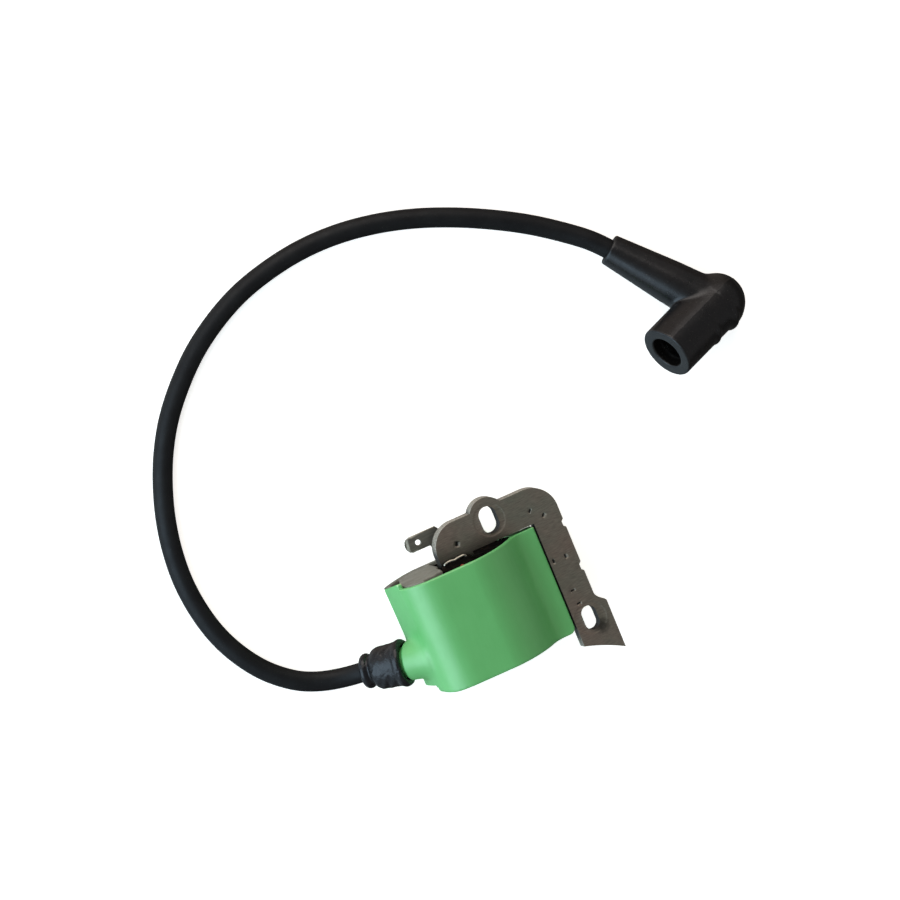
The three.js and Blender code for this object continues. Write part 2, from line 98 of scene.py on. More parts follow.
class Finish:
    """A procedural material: a Principled shader with helpers for the nodes that drive it."""

    def __init__(self, name, metallic=0.0, **sockets):
        self.material = bpy.data.materials.new(name)
        self.material.use_nodes = True
        self.tree = self.material.node_tree
        self.shader = self.tree.nodes["Principled BSDF"]
        self.shader.inputs["Metallic"].default_value = metallic
        for socket, value in sockets.items():
            self.shader.inputs[socket.replace("_", " ")].default_value = value
        self.coordinates = self.node("ShaderNodeTexCoord").outputs["Object"]
        self.height = None

    def node(self, kind, **settings):
        node = self.tree.nodes.new(kind)
        for key, value in settings.items():
            if key in node.inputs:
                node.inputs[key].default_value = value
            else:
                setattr(node, key, value)
        return node

    def join(self, output, target):
        self.tree.links.new(output, target)

    def feed(self, value, socket):
        """Sets a socket to a number or colour, or joins another node's output to it."""
        if isinstance(value, bpy.types.NodeSocket):
            self.join(value, socket)
        else:
            socket.default_value = value

    def placed(self, stretch=(1, 1, 1), turn=(0, 0, 0)):
        mapping = self.node("ShaderNodeMapping", Scale=stretch, Rotation=turn)
        self.join(self.coordinates, mapping.inputs["Vector"])
        return mapping.outputs["Vector"]

    def noise(self, scale, detail=4, roughness=0.55, stretch=(1, 1, 1), turn=(0, 0, 0), distortion=0):
        node = self.node(
            "ShaderNodeTexNoise", Scale=scale, Detail=detail, Roughness=roughness, Distortion=distortion,
        )
        self.join(self.placed(stretch, turn), node.inputs["Vector"])
        return node.outputs["Fac"]

    def ramp(self, value, *stops):
        """Colours by value: stops are (position, colour)."""
        node = self.node("ShaderNodeValToRGB")
        elements = node.color_ramp.elements
        while len(elements) < len(stops):
            elements.new(0.5)
        for element, (position, colour) in zip(elements, stops):
            element.position = position
            element.color = colour
        self.join(value, node.inputs["Fac"])
        return node.outputs["Color"]

    def spread(self, value, low, high, start=0.3, end=0.7):
        node = self.node("ShaderNodeMapRange")
        for socket, number in zip(("From Min", "From Max", "To Min", "To Max"), (start, end, low, high)):
            node.inputs[socket].default_value = number
        self.join(value, node.inputs["Value"])
        return node.outputs["Result"]

    def mix(self, factor, a, b, blend="MIX"):
        node = self.node("ShaderNodeMix", data_type="RGBA", blend_type=blend)
        sockets = [s for s in node.inputs if s.enabled]
        for socket, value in zip(sockets, (factor, a, b)):
            self.feed(value, socket)
        return next(s for s in node.outputs if s.enabled)

    def math(self, operation, a, b=0.0):
        node = self.node("ShaderNodeMath", operation=operation)
        for socket, value in zip(node.inputs, (a, b)):
            self.feed(value, socket)
        return node.outputs["Value"]

    def flatness(self):
        """1 on a sheet's faces and 0 on its cut edges, from the Z of the surface's normal."""
        normal = self.node("ShaderNodeSeparateXYZ")
        self.join(self.node("ShaderNodeNewGeometry").outputs["Normal"], normal.inputs["Vector"])
        return self.math("ABSOLUTE", normal.outputs["Z"])

    def edges(self, low=0.5, high=0.6):
        """Near 1 on outward edges of a finely divided mesh."""
        pointiness = self.node("ShaderNodeNewGeometry").outputs["Pointiness"]
        return self.spread(pointiness, 0, 1, low, high)

    def dark_spot(self, centre, core, reach):
        """1 within core of a point, fading unevenly to 0 at reach."""
        away = self.node("ShaderNodeVectorMath", operation="DISTANCE")
        self.join(self.coordinates, away.inputs[0])
        away.inputs[1].default_value = centre
        ragged = self.math("MULTIPLY_ADD", self.noise(900, 3), 0.002)
        ragged.node.inputs[2].default_value = -0.001
        return self.spread(self.math("ADD", away.outputs["Value"], ragged), 0.8, 0, core, reach)

    def colour(self, output):
        self.join(output, self.shader.inputs["Base Color"])

    def rough(self, output):
        self.join(output, self.shader.inputs["Roughness"])

    def bump(self, height, strength, distance):
        node = self.node("ShaderNodeBump", Strength=strength, Distance=distance)
        self.join(height, node.inputs["Height"])
        if self.height is not None:
            self.join(self.height, node.inputs["Normal"])
        self.height = node.outputs["Normal"]
        self.join(self.height, self.shader.inputs["Normal"])


def plastic_green():
    finish = Finish("housing_green", Specular_IOR_Level=1.0)
    cloud = finish.noise(55, 3)
    body = finish.ramp(cloud, (0.3, linear(80, 163, 90)), (0.7, linear(86, 170, 96)))
    flow = finish.noise(700, 2, stretch=(1, 0.12, 1))
    body = finish.mix(finish.spread(flow, 0.0, 0.1), body, linear(104, 186, 114))
    # Painted highlight: outward edges, found by pointiness, are lightened to a pale green.
    finish.colour(finish.mix(finish.edges(0.55, 0.62), body, linear(206, 232, 178)))
    finish.rough(finish.spread(finish.noise(260, 4), 0.4, 0.48))
    finish.bump(finish.noise(5200, 3), 0.25, 0.00004)
    finish.bump(finish.noise(90, 2), 0.2, 0.0003)
    return finish


def sheet_steel():
    """Dark oiled steel: fine rolling lines along X, lighter where the edges are sheared, with painted shade
    near black in recesses and in the stake dents.
    """
    finish = Finish("lamination_steel", metallic=0.75)
    rolled = finish.noise(3200, 3, 0.6, stretch=(0.12, 1, 1))
    patches = finish.noise(60, 3)
    face = finish.ramp(rolled, (0.25, linear(101, 99, 95)), (0.75, linear(134, 131, 126)))
    tint = finish.ramp(patches, (0.35, linear(236, 240, 228)), (0.65, linear(255, 236, 226)))
    face = finish.mix(1.0, face, tint, "MULTIPLY")
    sheared = finish.spread(finish.flatness(), 1, 0, 0.55, 0.95)
    drawn = finish.noise(2600, 3, stretch=(1, 1, 0.2))
    cut = finish.ramp(drawn, (0.3, linear(120, 117, 110)), (0.7, linear(176, 172, 163)))
    # Painted shade: in recesses found by ambient occlusion, sooner on the cut edges, the colour goes to near
    # black.
    occlusion = finish.node("ShaderNodeAmbientOcclusion", Distance=0.012).outputs["AO"]
    metal = finish.math("SUBTRACT", 0.75, finish.math("MULTIPLY", sheared, 0.5))
    finish.join(metal, finish.shader.inputs["Metallic"])
    deep = finish.math("MULTIPLY", sheared, finish.spread(occlusion, 1, 0, 0.6, 0.9))
    open_air = finish.math("SUBTRACT", finish.spread(occlusion, 0, 1, 0.44, 0.88), deep)
    # Painted shade: the pressed stake dents are darkened to the same near black.
    pressed = finish.node("ShaderNodeAttribute", attribute_name="pressed").outputs["Fac"]
    unpressed = finish.spread(pressed, 1, 0, 0.2, 0.36)
    unshaded = finish.math("MULTIPLY", finish.math("MAXIMUM", open_air, 0), unpressed)
    face = finish.mix(finish.dark_spot(DARK_SPOT_CENTRE, 0.0009, 0.0034), face, linear(30, 28, 26))
    finish.colour(finish.mix(unshaded, linear(20, 18, 17), finish.mix(sheared, face, cut)))
    finish.rough(finish.spread(rolled, 0.38, 0.56))
    finish.bump(rolled, 0.3, 0.00002)
    return finish


def tinned():
    finish = Finish("tinned_metal", metallic=0.9)
    wiped = finish.noise(1500, 4, 0.6, stretch=(0.2, 1, 1))
    finish.colour(finish.ramp(wiped, (0.3, linear(150, 148, 140)), (0.7, linear(186, 183, 172))))
    finish.rough(finish.spread(finish.noise(600, 4), 0.3, 0.5))
    finish.bump(wiped, 0.2, 0.00003)
    return finish


def blade_metal():
    finish = Finish("blade_metal", metallic=0.85)
    grain = finish.noise(1300, 5, 0.7, stretch=(0.08, 1, 1))
    face = finish.ramp(grain, (0.3, linear(98, 97, 91)), (0.7, linear(128, 126, 118)))
    face = finish.mix(finish.spread(finish.noise(160, 3), 0, 0.5), face, linear(88, 84, 76))
    ground = finish.spread(finish.flatness(), 1, 0, 0.965, 0.995)
    finish.colour(finish.mix(ground, face, linear(178, 176, 166)))
    finish.rough(finish.spread(grain, 0.36, 0.52))
    finish.bump(grain, 0.25, 0.00003)
    return finish


def copper():
    finish = Finish("copper", metallic=0.9)
    turns = finish.node("ShaderNodeTexWave", Scale=420, Distortion=0.6, bands_direction="Y")
    finish.join(finish.placed(), turns.inputs["Vector"])
    finish.colour(finish.ramp(turns.outputs["Fac"], (0.1, linear(96, 42, 18)), (0.9, linear(196, 112, 62))))
    finish.rough(finish.spread(finish.noise(800, 3), 0.28, 0.42))
    finish.bump(turns.outputs["Fac"], 0.6, 0.0001)
    return finish


def enamelled_wire():
    finish = Finish("enamelled_wire", metallic=0.3)
    coat = finish.noise(900, 3)
    finish.colour(finish.ramp(coat, (0.3, linear(120, 34, 26)), (0.7, linear(158, 58, 40))))
    finish.rough(finish.spread(coat, 0.25, 0.4))
    return finish


def moulded(name, dark, light, rough=(0.4, 0.6), grain=3500):
    """A moulded or cast non-metal with cloudy colour and a fine surface grain."""
    finish = Finish(name)
    finish.colour(finish.ramp(finish.noise(140, 4), (0.3, linear(*dark)), (0.7, linear(*light))))
    finish.rough(finish.spread(finish.noise(420, 4), *rough))
    finish.bump(finish.noise(grain, 3), 0.3, 0.00005)
    return finish


def potting_resin():
    finish = Finish("potting_resin", Specular_IOR_Level=0.01)
    cloud = finish.noise(330, 5, 0.65)
    body = finish.ramp(cloud, (0.3, linear(5, 5, 6)), (0.55, linear(13, 11, 10)), (0.8, linear(40, 29, 22)))
    finish.colour(body)
    finish.rough(finish.spread(finish.noise(500, 4), 0.4, 0.65))
    finish.bump(finish.noise(900, 4), 0.5, 0.0002)
    return finish


def rubber(name, dark, light, rough, specks, shine=0.45):
    """Black rubber: satin, with a faint bloom, fine pores and dust."""
    finish = Finish(name, Specular_IOR_Level=shine, Specular_Tint=linear(226, 232, 244))
    bloom = finish.noise(120, 5, 0.6)
    body = finish.ramp(bloom, (0.3, linear(*dark)), (0.72, linear(*light)))
    dust = finish.spread(finish.noise(2600, 2, 0.5), 0, specks, 0.66, 0.78)
    finish.colour(finish.mix(dust, body, linear(120, 118, 112)))
    finish.rough(finish.spread(finish.noise(300, 5), *rough))
    finish.bump(finish.noise(4200, 3), 0.35, 0.00004)
    finish.bump(finish.noise(240, 3), 0.35, 0.0002)
    return finish


def board_laminate():
    finish = Finish("board_laminate")
    weave = finish.node("ShaderNodeTexChecker", Scale=1600)
    finish.join(finish.placed(), weave.inputs["Vector"])
    body = finish.ramp(finish.noise(200, 4), (0.3, linear(30, 82, 46)), (0.7, linear(44, 104, 60)))
    finish.colour(finish.mix(0.12, body, weave.outputs["Color"]))
    finish.rough(finish.spread(finish.noise(500, 3), 0.35, 0.55))
    return finish


def brass():
    finish = Finish("brass", metallic=0.95)
    turning = finish.noise(2400, 3, stretch=(1, 0.3, 1))
    finish.colour(finish.ramp(turning, (0.3, linear(156, 120, 56)), (0.7, linear(202, 166, 92))))
    finish.rough(finish.spread(turning, 0.25, 0.4))
    finish.bump(turning, 0.2, 0.00003)
    return finish


# Below the lower slot the front sheet has a dark spot.
DARK_SPOT_CENTRE = Vector((DATUM + (63.2, -41.0, 20)) * MM)
GREEN = plastic_green()
STEEL = sheet_steel()
TIN = tinned()
BLADE = blade_metal()
COPPER = copper()
ENAMEL = enamelled_wire()
NYLON = moulded("bobbin_nylon", (28, 28, 28), (44, 43, 41))
GREY = moulded("cover_grey", (98, 98, 92), (122, 121, 112), (0.5, 0.68))
RESIN = potting_resin()
BOARD = board_laminate()
BROWN = moulded("component_brown", (150, 86, 32), (186, 116, 52), (0.3, 0.45))
BLACK = moulded("component_black", (18, 18, 18), (32, 32, 32))
BRASS = brass()
BOOT = rubber("boot_rubber", (7, 7, 7), (17, 14, 13), (0.25, 0.36), 0.3)
WRINKLED = rubber("relief_rubber", (8, 9, 11), (16, 17, 20), (0.2, 0.34), 0.2)
WRINKLED.bump(WRINKLED.noise(420, 3, distortion=0.6), 0.55, 0.0006)
JACKET = rubber("lead_rubber", (10, 10, 11), (18, 19, 20), (0.45, 0.58), 0.12, 0.24)


# ---- making pieces ------------------------------------------------------------------------------
SHARP = math.radians(38)


def place(obj, finish, slot, *nodes):
    """Puts a finished piece on the one body, with its material, and hides the CAD nodes it stands for; slot
    is not used.
    """
    if obj.name not in bpy.context.scene.collection.objects:
        bpy.context.scene.collection.objects.link(obj)
    obj.data.materials.append(finish.material)
    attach(obj, "root")
    if nodes:
        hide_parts(*nodes)
    return obj


def mesh_object(name, points, faces, sharp=SHARP):
    """A mesh from points in millimetres of the drawing: smooth, apart from edges sharper than sharp."""
    mesh = bpy.data.meshes.new(name)
    mesh.from_pydata([tuple(p) for p in (np.asarray(points) + DATUM) * MM], [], [list(f) for f in faces])
    work = bmesh.new()
    work.from_mesh(mesh)
    bmesh.ops.recalc_face_normals(work, faces=work.faces)
    for face in work.faces:
        face.smooth = True
    for edge in work.edges:
        edge.smooth = not (edge.is_manifold and edge.calc_face_angle(0) > sharp)
    work.to_mesh(mesh)
    work.free()
    return bpy.data.objects.new(name, mesh)


# Fields are signed distances in millimetres, negative inside, at points in the rows of an array.
def union(a, b, blend=0.0):
    """The lower of two fields, with a fillet where they meet."""
    if not blend:
        return np.minimum(a, b)
    overlap = np.maximum(blend - np.abs(a - b), 0) / blend
    return np.minimum(a, b) - overlap ** 3 * blend / 6


def cut(a, b, blend=0.0):
    """Field a without field b, with a rounded edge where b's surface breaks through."""
    return -union(-a, b, blend)


def meet(a, b, radius):
    """The region inside both fields, with its edge rounded to radius."""
    p = a + radius
    q = b + radius
    return np.minimum(np.maximum(p, q), 0) + np.hypot(np.maximum(p, 0), np.maximum(q, 0)) - radius


def span(value, low, high):
    """Field of the slab between two values."""
    return np.abs(value - (low + high) / 2) - (high - low) / 2


def box_field(p, low, high, radius):
    x, y, z = (span(p[:, i], low[i], high[i]) for i in range(3))
    return meet(meet(x, y, radius), z, radius)


def axis_of(p, origin, direction):
    """Distance along an axis from origin, and distance from the axis."""
    offset = p - origin
    along = offset @ direction
    return along, np.linalg.norm(offset - along[:, None] * direction, axis=1)


def polygon_field(points, loop):
    """Signed distance to a closed outline in two dimensions."""
    start, end = loop, np.roll(loop, -1, 0)
    side = end - start
    rise = np.where(side[:, 1] == 0, 1e-12, side[:, 1])
    result = []
    for p in np.array_split(points[:, None, :], max(1, len(points) // 20000)):
        share = np.clip(((p - start) * side).sum(-1) / (side ** 2).sum(-1), 0, 1)
        gap = np.linalg.norm(p - start - share[..., None] * side, axis=-1).min(1)
        level = (start[:, 1] > p[..., 1]) != (end[:, 1] > p[..., 1])
        left = p[..., 0] < start[:, 0] + (p[..., 1] - start[:, 1]) * side[:, 0] / rise
        inside = (level & left).sum(1) % 2 == 1
        result.append(np.where(inside, -gap, gap))
    return np.concatenate(result)


class Section:
    """An outline's field, worked out once on a fine grid and read between its points."""

    def __init__(self, loop, margin=8.0, pitch=0.15):
        self.low = loop.min(0) - margin
        self.pitch = pitch
        counts = np.ceil((loop.max(0) + margin - self.low) / pitch).astype(int) + 1
        u, v = (self.low[i] + pitch * np.arange(counts[i]) for i in range(2))
        grid = np.stack(np.meshgrid(u, v, indexing="ij"), -1).reshape(-1, 2)
        self.values = polygon_field(grid, loop).reshape(counts)

    def __call__(self, u, v):
        q = (np.stack([u, v]) - self.low[:, None]) / self.pitch
        q = np.clip(q, 0, np.array(self.values.shape)[:, None] - 1.001)
        i, j = q.astype(int)
        s, t = q - (i, j)
        near = self.values[i, j] * (1 - s) + self.values[i + 1, j] * s
        far = self.values[i, j + 1] * (1 - s) + self.values[i + 1, j + 1] * s
        return near * (1 - t) + far * t


def skin(name, field, low, high, step, rounds=4):
    """A closed mesh on the zero level of a field: one point in each cell that the level crosses."""
    low = np.array(low, float)
    counts = np.ceil((np.array(high) - low) / step).astype(int) + 1
    axes = [low[i] + step * np.arange(counts[i]) for i in range(3)]
    grid = np.stack(np.meshgrid(*axes, indexing="ij"), -1).reshape(-1, 3)
    inside = (field(grid) < 0).reshape(counts)
    corners = np.zeros(counts - 1, int)
    for shift in np.ndindex(2, 2, 2):
        corners += inside[tuple(slice(s, s + n - 1) for s, n in zip(shift, counts))]
    crossed = (corners > 0) & (corners < 8)
    number = np.full(crossed.shape, -1)
    number[crossed] = np.arange(crossed.sum())
    points = low + step * (np.argwhere(crossed) + 0.5)
    faces = []
    for axis in range(3):
        u, v = (axis + 1) % 3, (axis + 2) % 3
        here = np.take(inside, range(counts[axis] - 1), axis)
        there = np.take(inside, range(1, counts[axis]), axis)
        at = np.argwhere(here != there)
        out = here[tuple(at.T)]
        ring = []
        for du, dv in ((0, 0), (1, 0), (1, 1), (0, 1)):
            cell = at.copy()
            cell[:, u] -= du
            cell[:, v] -= dv
            ring.append(number[tuple(cell.T)])
        quads = np.stack(ring, 1)
        faces.append(np.where(out[:, None], quads, quads[:, ::-1]))
    faces = np.concatenate(faces)
    points = settle(points, field, step, rounds)
    return mesh_object(name, points, faces.tolist(), math.pi)


def settle(points, field, step, rounds):
    """Moves points onto a field's zero level along its slope."""
    reach = step * 0.1
    for _ in range(rounds):
        value = field(points)
        slope = np.stack([
            field(points + reach * side) - field(points - reach * side) for side in np.eye(3)
        ], 1) / (2 * reach)
        size = np.maximum((slope ** 2).sum(1), 0.05)
        move = -slope * (value / size)[:, None]
        length = np.linalg.norm(move, axis=1, keepdims=True)
        points = points + move * np.minimum(1, step * 0.8 / np.maximum(length, 1e-9))
    return points


def arc(x, y, radius, start, end, pitch=0.45):
    """Points of a circular arc, from one angle in radians to another."""
    count = max(3, int(abs(end - start) * radius / pitch) + 1)
    return [(x + radius * math.cos(a), y + radius * math.sin(a)) for a in np.linspace(start, end, count)]


def bezier(a, b, c, d, count=24):
    """Points of a cubic Bezier curve after its first point."""
    t = (np.arange(1, count + 1) / count)[:, None]
    a, b, c, d = (np.array(p, float) for p in (a, b, c, d))
    return ((1 - t) ** 3 * a + 3 * (1 - t) ** 2 * t * b + 3 * (1 - t) * t ** 2 * c + t ** 3 * d).tolist()


def tidy_loop(points, clockwise=False):
    """Drops repeated points and turns a closed outline the right way round."""
    kept = [p for i, p in enumerate(points) if math.dist(p, points[i - 1]) > 0.01]
    loop = np.array(kept, float)
    after = np.roll(loop, -1, 0)
    area = (loop[:, 0] * after[:, 1] - loop[:, 1] * after[:, 0]).sum()
    return loop[::-1] if (area < 0) != clockwise else loop


def inset_loop(loop, distance):
    """Moves an outline towards the material, which lies on its left."""
    before = loop - np.roll(loop, 1, 0)
    after = np.roll(loop, -1, 0) - loop
    along = before / np.linalg.norm(before, axis=1)[:, None] + after / np.linalg.norm(after, axis=1)[:, None]
    along /= np.linalg.norm(along, axis=1)[:, None]
    return loop + distance * np.stack([-along[:, 1], along[:, 0]], 1)


def plate(name, loops, low, high, bevel, relief=None, dots=()):
    """A sheet between two heights with bevelled edges. The first loop is its outline, the others are
    holes. relief gives the height added to a point of the upper face; dots are points it needs there."""
    insets = [inset_loop(loop, bevel) for loop in loops]
    edges, total = [], 0
    for loop in loops:
        n = len(loop)
        edges += [(total + i, total + (i + 1) % n) for i in range(n)]
        total += n
    flat = np.concatenate(insets)
    dots = np.array(dots, float).reshape(-1, 2)
    if len(dots):
        clear = polygon_field(dots, insets[0]) < -0.2
        for hole in insets[1:]:
            clear &= polygon_field(dots, hole) > 0.2
        flat = np.concatenate([flat, dots[clear]])
    made = delaunay_2d_cdt([Vector(p) for p in flat], edges, [], 0, 1e-5)
    source = [s[0] for s in made[3]]
    triangles = np.array([[source[i] for i in face] for face in made[2]])
    middle = flat[triangles].mean(1)
    kept = polygon_field(middle, insets[0]) < 0
    for hole in insets[1:]:
        kept &= polygon_field(middle, hole) > 0
    triangles = triangles[kept]
    count = len(flat)
    lift = np.zeros(count) if relief is None else relief(flat)
    outline = np.concatenate(loops)
    layers = [
        np.column_stack([flat, high + lift]),
        np.column_stack([outline, np.full(total, high - bevel)]),
        np.column_stack([outline, np.full(total, low + bevel)]),
        np.column_stack([flat, np.full(count, low)]),
    ]
    starts = [0, count, count + total, count + 2 * total]
    faces = triangles.tolist() + (triangles[:, ::-1] + starts[3]).tolist()
    for top, bottom in zip(starts, starts[1:]):
        faces += [[top + b, top + a, bottom + a, bottom + b] for a, b in edges]
    obj = mesh_object(name, np.concatenate(layers), faces)
    if relief is not None:
        pressed = obj.data.attributes.new("pressed", "FLOAT", "POINT")
        depths = np.zeros(sum(len(layer) for layer in layers))
        depths[:count] = -lift
        pressed.data.foreach_set("value", depths)
    return obj


def turned(name, profile, origin, direction, segments=96, wobble=None):
    """A turned piece. profile is a closed loop of (radius, distance along the axis); wobble gives the
    extra radius at a distance and an angle."""
    side = np.cross(direction, (0, 0, 1))
    side /= np.linalg.norm(side)
    other = np.cross(direction, side)
    points = []
    for angle in np.arange(segments) * 2 * math.pi / segments:
        spoke = math.cos(angle) * side + math.sin(angle) * other
        for radius, along in profile:
            extra = wobble(radius, along, angle) if wobble else 0
            points.append(origin + along * direction + (radius + extra) * spoke)
    n = len(profile)
    faces = []
    for i in range(segments):
        here, there = i * n, (i + 1) % segments * n
        faces += [[here + j, here + (j + 1) % n, there + (j + 1) % n, there + j] for j in range(n)]
    return mesh_object(name, points, faces)


def smooth_path(points, pitch):
    """Points along the centripetal Catmull-Rom curve through points, about pitch apart."""
    p = np.array(points, float)
    p = np.vstack([2 * p[0] - p[1], p, 2 * p[-1] - p[-2]])
    result = [p[1]]
    for a, b, c, d in zip(p, p[1:], p[2:], p[3:]):
        k = [max(math.dist(u, v) ** 0.5, 1e-4) for u, v in ((a, b), (b, c), (c, d))]
        start = ((b - a) / k[0] - (c - a) / (k[0] + k[1]) + (c - b) / k[1]) * k[1]
        end = ((c - b) / k[1] - (d - b) / (k[1] + k[2]) + (d - c) / k[2]) * k[1]
        count = max(2, int(math.dist(b, c) / pitch))
        for t in np.arange(1, count + 1) / count:
            result.append(
                (2 * t ** 3 - 3 * t ** 2 + 1) * b + (t ** 3 - 2 * t ** 2 + t) * start
                + (3 * t ** 2 - 2 * t ** 3) * c + (t ** 3 - t ** 2) * end
            )
    return np.array(result)


def wire(name, points, radius, pitch, sides=6):
    """A round wire along a path in millimetres of the row frame."""
    curve = bpy.data.curves.new(name, "CURVE")
    curve.dimensions = "3D"
    curve.bevel_depth = radius * MM
    curve.bevel_resolution = sides
    curve.use_fill_caps = True
    path = smooth_path(points, pitch)
    spline = curve.splines.new("POLY")
    spline.points.add(len(path) - 1)
    for point, at in zip(spline.points, path):
        point.co = (*(at * MM), 1)
    spline.use_smooth = True
    return bpy.data.objects.new(name, curve)


# ---- high tension lead --------------------------------------------------------------------------
LEAD = {"radius": 3.5, "clear": 3.8, "length": 0.3735, "wire": 0.8}
# The lead's middle line in the row frame, from the terminal in the neck to the elbow.
# Most points are spaced out along a trace of the lead in the photo; those at the ends are set one by one.
LEAD_ROUTE = [
    (-26.6, -8.7, 21.2),
    (-35.6, -7.6, 15.1),
    (-45.4, -6.4, 8.5),
    (-50.5, -6.0, 5.8),
    (-55.8, -5.1, 4.2),
    (-61.5, -3.4, 3.5),
    (-68.0, -0.1, 3.5),
    (-76.1, 6.8, 3.5),
    (-82.5, 15.5, 3.5),
    (-87.1, 25.2, 3.5),
    (-89.8, 35.5, 3.5),
    (-91.0, 46.6, 3.5),
    (-90.4, 58.0, 3.5),
    (-88.4, 68.8, 3.5),
    (-85.0, 79.6, 3.5),
    (-80.2, 90.4, 3.5),
    (-73.9, 100.5, 3.5),
    (-65.9, 109.7, 3.5),
    (-56.2, 118.4, 3.5),
    (-45.3, 125.4, 3.5),
    (-33.9, 130.6, 3.5),
    (-21.7, 133.9, 3.5),
    (-9.1, 135.7, 3.5),
    (4.1, 135.7, 3.5),
    (17.7, 133.8, 3.5),
    (31.4, 130.1, 3.5),
    (44.6, 124.9, 3.5),
    (57.3, 118.6, 3.5),
    (69.1, 111.6, 3.6),
    (79.3, 104.2, 4.0),
    (86.4, 98.2, 4.9),
    (91.4, 92.6, 5.7),
    (98.5, 83.7, 7.1),
    (107.8, 72.1, 9.0),
]


def unit(*vector):
    return np.array(vector) / np.linalg.norm(vector)


NECK = {"base": np.array((2.0, -26.2, 21.8)), "direction": unit(-0.824, 0.1, -0.559)}
NECK.update(radius=6.6, shoulder=7.2, spigot=5.35, end=14.5, blend=5.5)
RELIEF = {"mouth": 7.7, "length": 16.2}


def strain_relief():
    """Rubber boot over the neck: bead at its mouth, plain body, groove, and a ring round the lead."""
    bore = NECK["spigot"] + 0.15
    outside = [
        (7.35, 0.0), (7.85, 0.3), (8.2, 0.9), (8.25, 1.5), (8.1, 2.3), (7.75, 3.1), (7.55, 4.6),
        (7.45, 6.6), (7.35, 8.8), (7.15, 10.3), (6.75, 11.3), (6.1, 11.95), (5.4, 12.4), (5.2, 12.8),
        (5.35, 13.3), (5.8, 13.8), (6.1, 14.4), (6.12, 15.0), (5.9, 15.6), (5.4, 16.05),
        (4.7, RELIEF["length"]),
    ]
    curve = smooth_path([(r, s, 0) for r, s in outside], 0.22)[:, :2].tolist()
    snug = LEAD["radius"] + 0.05
    inside = [(snug, RELIEF["length"] - 0.2), (snug, 11.0), (bore, 8.6), (bore, 2.0), (5.9, 0.6), (6.4, 0.05)]
    mouth = NECK["base"] + NECK["direction"] * RELIEF["mouth"]

    def wobble(radius, along, angle):
        if radius < bore + 0.5 or along > 12.2:
            return 0
        folds = 0.07 * math.sin(5 * angle + 0.9 * along) * math.sin(0.75 * along + 1.0)
        swell = 0.1 * math.sin(2 * angle + 1.3) + 0.05 * math.sin(9 * angle + 2.1 * along)
        return (folds + swell) * min(1, along / 1.5) * min(1, (12.2 - along) / 1.5)

    obj = turned("strain_relief_boot", curve + inside, mouth, NECK["direction"], 120, wobble)
    return place(obj, WRINKLED, "boot_rubber", "strain_relief")


# ---- spark plug boot ----------------------------------------------------------------------------
BARREL = {
    "radius": 9.9, "bore": 5.9, "depth": 23.0, "length": 28.5, "narrow": 3.6, "sleeve": 26.6, "flat": 9.35,
}
SLEEVE = {"end": 5.4, "mid": 7.6, "elbow": 8.6, "mid_at": 24.0}
MOUTH = np.array((120.6, 36.4, 20.65))
BARREL_IN = -unit(-0.891, -0.276, 0.362)
SLEEVE_END = np.array((118.8, 75.6, 5.6))
ELBOW = MOUTH + BARREL_IN * BARREL["sleeve"]
SLEEVE_IN = unit(*(ELBOW - SLEEVE_END))


def ridge(value, at, width):
    return np.exp(-((value - at) / width) ** 2)


def plug_boot_field(p):
    along, off = axis_of(p, MOUTH, BARREL_IN)
    spoke = (p - MOUTH - along[:, None] * BARREL_IN) / np.maximum(off, 0.1)[:, None]
    reach = np.clip(along, 0, BARREL["length"])
    past = np.maximum(along - BARREL["length"], 0)
    outer = np.clip(spoke @ OUTER_SIDE * 1.5 - 0.2, 0, 1) ** 2
    bulge = outer * (0.85 * ridge(reach, 26.6, 1.5) + 0.5 * ridge(reach, 17.4, 0.9))
    cap = 0.22 / (1 + np.exp(-(reach - 25.9) / 0.08))
    bulge = (bulge + cap) * np.exp(-(past / 3) ** 2)
    bulge = bulge + 0.13 * ridge(spoke @ PARTING, 0, 0.03) * (spoke @ UPPER_SIDE > 0)
    barrel = meet(np.hypot(off, past) - BARREL["radius"] - bulge, -along, 0.6)
    barrel = meet(barrel, off * (spoke @ FLAT_SIDE) - BARREL["flat"], 0.8)
    run, gap = axis_of(p, SLEEVE_END, SLEEVE_IN)
    length = np.linalg.norm(ELBOW - SLEEVE_END)
    stations = (0, 1.2, SLEEVE["mid_at"], length)
    radius = np.interp(run, stations, (SLEEVE["end"], SLEEVE["end"] + 0.15, SLEEVE["mid"], SLEEVE["elbow"]))
    sleeve = meet(meet(gap - radius, -run, 0.5), run - length, 0.7)
    body = union(barrel, sleeve, 2.2)
    ribs = 0.35 * (ridge(along, 4.5, 0.6) + ridge(along, 9.0, 0.6) + ridge(along, 13.5, 0.6))
    body = cut(body, meet(off - BARREL["bore"] + ribs, along - BARREL["depth"], 1.0), 0.9)
    body = cut(body, meet(off - BARREL["narrow"], along - BARREL["length"], 0.5), 0.4)
    return cut(body, meet(gap - LEAD["radius"] - 0.05, run - length + 6, 0.3), 0.5)


# Round the barrel: the side away from the sleeve, the side that lies uppermost, and the normal of
# the plane in which the two mould halves met.
OUTER_SIDE = unit(*(SLEEVE_IN - (SLEEVE_IN @ BARREL_IN) * BARREL_IN))
UPPER_SIDE = unit(*np.cross(OUTER_SIDE, BARREL_IN))
UPPER_SIDE *= np.sign(UPPER_SIDE[2])
PARTING = unit(*(OUTER_SIDE + 0.2 * UPPER_SIDE))
FLAT_SIDE = unit(*(0.79 * UPPER_SIDE - 0.61 * OUTER_SIDE))


def plug_boot():
    corners = np.stack([MOUTH, ELBOW + BARREL_IN * 13, SLEEVE_END])
    low, high = corners.min(0) - 12, corners.max(0) + 12
    low[2] = max(low[2], -0.5)
    obj = skin("spark_plug_boot", plug_boot_field, low, high, 0.42)
    return place(obj, BOOT, "boot_rubber", "plug_boot")


